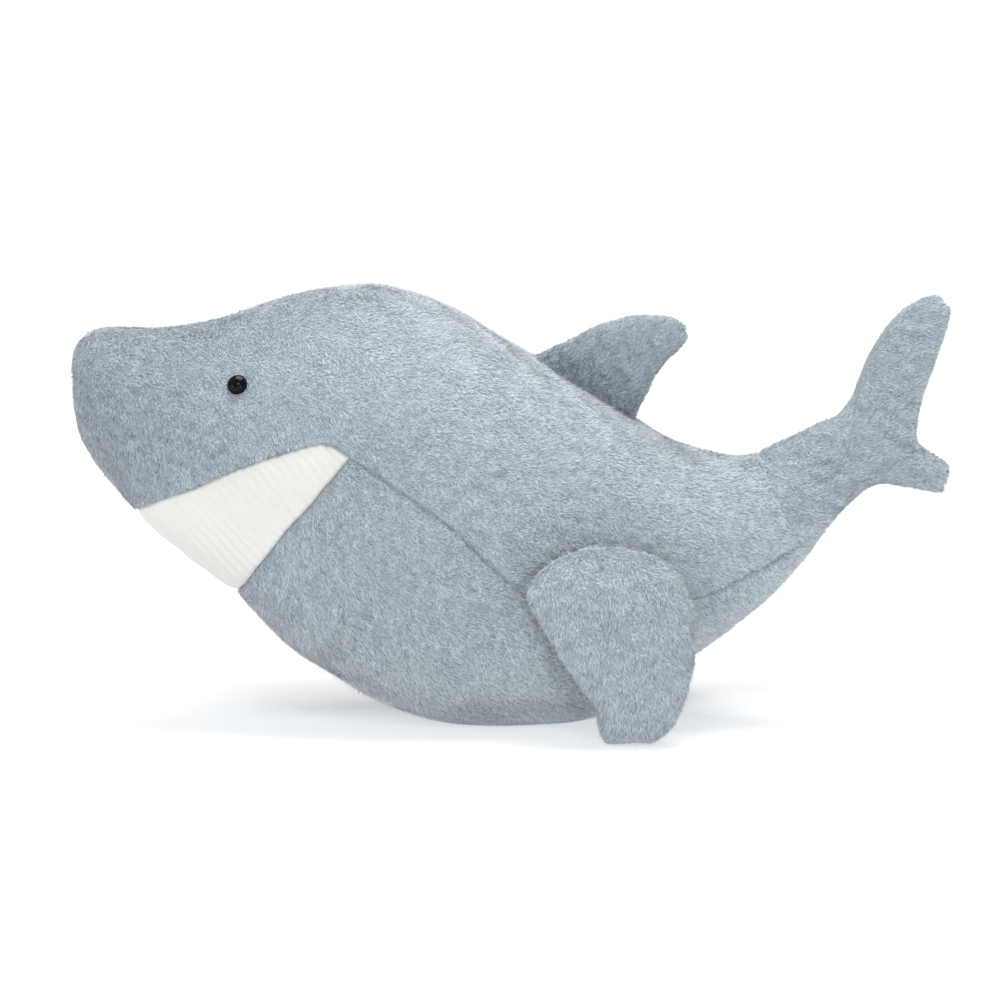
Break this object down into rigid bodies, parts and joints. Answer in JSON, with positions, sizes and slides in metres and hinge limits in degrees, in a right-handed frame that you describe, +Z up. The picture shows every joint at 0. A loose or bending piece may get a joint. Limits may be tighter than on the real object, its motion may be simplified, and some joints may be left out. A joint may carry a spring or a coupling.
{
  "type": "plush shark",
  "caption": "Stuffed toy shark in grey-blue pile fabric with a ribbed cream mouth, black safety eyes, a back fin, two drooping side fins and a forked tail",
  "frame": {"origin": "on the floor, under the middle of the toy's box in length and width", "axes": "+Z up, -X towards the nose and +X towards the tail, -Y the toy's left side"},
  "size_m": [0.4801, 0.2246, 0.2412],
  "materials": {
    "pile_fabric": "matte",
    "rib_fabric": "matte",
    "fibre_filling": "matte",
    "pellet_pouch": "matte",
    "eye_plastic": "gloss",
    "washer_plastic": "matte"
  },
  "bodies": {
    "body": {"side_panel_left": "pile_fabric", "side_panel_right": "pile_fabric", "belly_panel": "pile_fabric", "mouth_panel": "rib_fabric", "body_filling": "fibre_filling", "bean_pouch": "pellet_pouch", "eye_left": "eye_plastic", "eye_right": "eye_plastic", "eye_washer_left": "washer_plastic", "eye_washer_right": "washer_plastic"},
    "dorsal_fin": {"dorsal_fin_left_panel": "pile_fabric", "dorsal_fin_right_panel": "pile_fabric", "dorsal_fin_filling": "fibre_filling"},
    "left_fin": {"left_fin_outer_panel": "pile_fabric", "left_fin_inner_panel": "pile_fabric", "left_fin_filling": "fibre_filling"},
    "right_fin": {"right_fin_outer_panel": "pile_fabric", "right_fin_inner_panel": "pile_fabric", "right_fin_filling": "fibre_filling"},
    "tail": {"tail_left_panel": "pile_fabric", "tail_right_panel": "pile_fabric", "tail_filling": "fibre_filling"}
  },
  "joints": [
    {"name": "dorsal_fin_flop", "type": "hinge", "parent": "body", "child": "dorsal_fin", "pos_m": [0.0428, 0, 0.1919], "axis": [0.8631, 0, -0.505], "range_deg": [-30, 30], "stiffness_Nm_per_rad": 0.03},
    {"name": "left_fin_lift", "type": "hinge", "parent": "body", "child": "left_fin", "pos_m": [0.05, -0.08405, 0.1], "axis": [-0.9595, -0.2818, 0], "range_deg": [0, 60], "stiffness_Nm_per_rad": 0.05},
    {"name": "right_fin_lift", "type": "hinge", "parent": "body", "child": "right_fin", "pos_m": [0.05, 0.08405, 0.1], "axis": [0.9595, -0.2818, 0], "range_deg": [0, 60], "stiffness_Nm_per_rad": 0.05},
    {"name": "tail_bend", "type": "hinge", "parent": "body", "child": "tail", "pos_m": [0.1655, 0, 0.1355], "axis": [-0.494, 0, 0.8695], "range_deg": [-24, 24], "stiffness_Nm_per_rad": 0.15}
  ]
}
